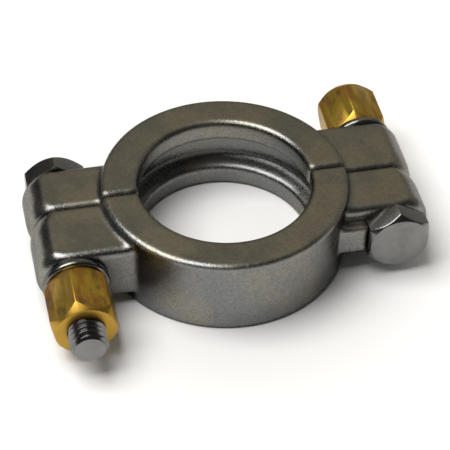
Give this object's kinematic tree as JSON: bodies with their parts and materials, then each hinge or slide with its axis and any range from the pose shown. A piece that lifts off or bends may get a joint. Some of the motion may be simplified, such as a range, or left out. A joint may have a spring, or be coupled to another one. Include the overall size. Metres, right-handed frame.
{
  "type": "high pressure tube clamp",
  "caption": "Two-piece bolted clamp that wedges a pair of tube ferrules together, with brass nuts on keyed bolts.",
  "frame": {"origin": "centre of the bore, on its middle plane, where the two ferrules meet", "axes": "+Z along the tube, +X from lug to lug, +Y along the bolts towards the rear half"},
  "size_m": [0.1022, 0.0786, 0.0218],
  "materials": {
    "cast_steel": "polished cast stainless steel, faintly pebbled",
    "bolt_steel": "satin stainless steel",
    "washer_steel": "bright stainless steel",
    "nut_brass": "slightly tarnished brass"
  },
  "bodies": {
    "front": {"front_half": "cast_steel", "right_bolt": "bolt_steel", "left_washer": "washer_steel"},
    "rear": {"rear_half": "cast_steel", "left_bolt": "bolt_steel", "right_washer": "washer_steel"},
    "left_nut": {"left_nut": "nut_brass"},
    "right_nut": {"right_nut": "nut_brass"}
  },
  "joints": [
    {"name": "opening", "type": "slide", "parent": "front", "child": "rear", "axis": [0, 1, 0], "range_m": [0, 0.0127]},
    {"name": "left_nut_turn", "type": "hinge", "parent": "front", "child": "left_nut", "pos_m": [-0.0416, 0, 0], "axis": [0, -1, 0], "range_deg": [0, 2880.1]},
    {"name": "right_nut_turn", "type": "hinge", "parent": "rear", "child": "right_nut", "pos_m": [0.0416, 0, 0], "axis": [0, 1, 0], "range_deg": [0, 2880.1]}
  ],
  "couplings": [
    {"joint": "left_nut_turn", "follows": "opening", "rad_per_m": 3957.9},
    {"joint": "right_nut_turn", "follows": "opening", "rad_per_m": 3957.9}
  ]
}
